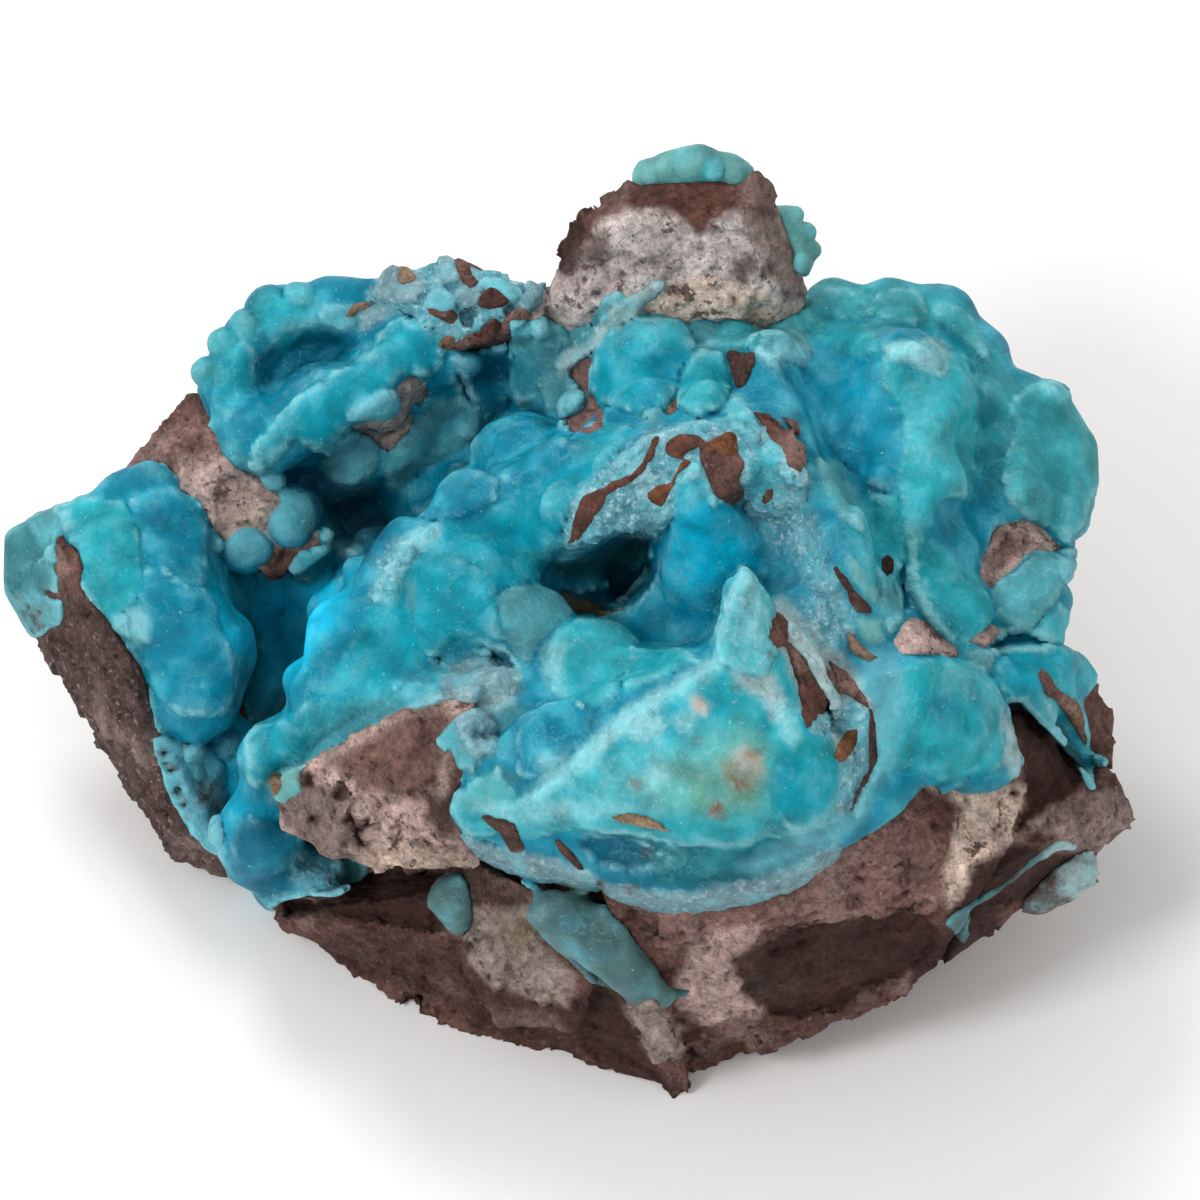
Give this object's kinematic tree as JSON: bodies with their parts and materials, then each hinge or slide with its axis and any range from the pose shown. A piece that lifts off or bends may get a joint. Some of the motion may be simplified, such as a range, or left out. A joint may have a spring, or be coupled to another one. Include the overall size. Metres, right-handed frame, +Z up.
{
  "type": "smithsonite mineral specimen",
  "caption": "Mineral specimen: a lumpy blue-green smithsonite crust over an angular brown host rock, cut flat below so that it rests tilted for display.",
  "frame": {"origin": "on the resting face, under the middle of the specimen's bounding box", "axes": "+Z up, -Y towards the viewer of the display face, which leans back 53 degrees, +X to that viewer's right"},
  "size_m": [0.1149, 0.0785, 0.0616],
  "materials": {
    "host_rock": "matt purple-brown volcanic rock with pits and grey-pink and cream zones",
    "smithsonite": "satin blue-green botryoidal crust, paler along its broken edges"
  },
  "bodies": {
    "root": {"host_rock": "host_rock", "smithsonite_crust": "smithsonite", "smithsonite_crown_cap": "smithsonite", "smithsonite_crown_side": "smithsonite", "smithsonite_front_tongue": "smithsonite", "smithsonite_front_bead": "smithsonite", "smithsonite_tail_foot": "smithsonite"}
  },
  "joints": []
}
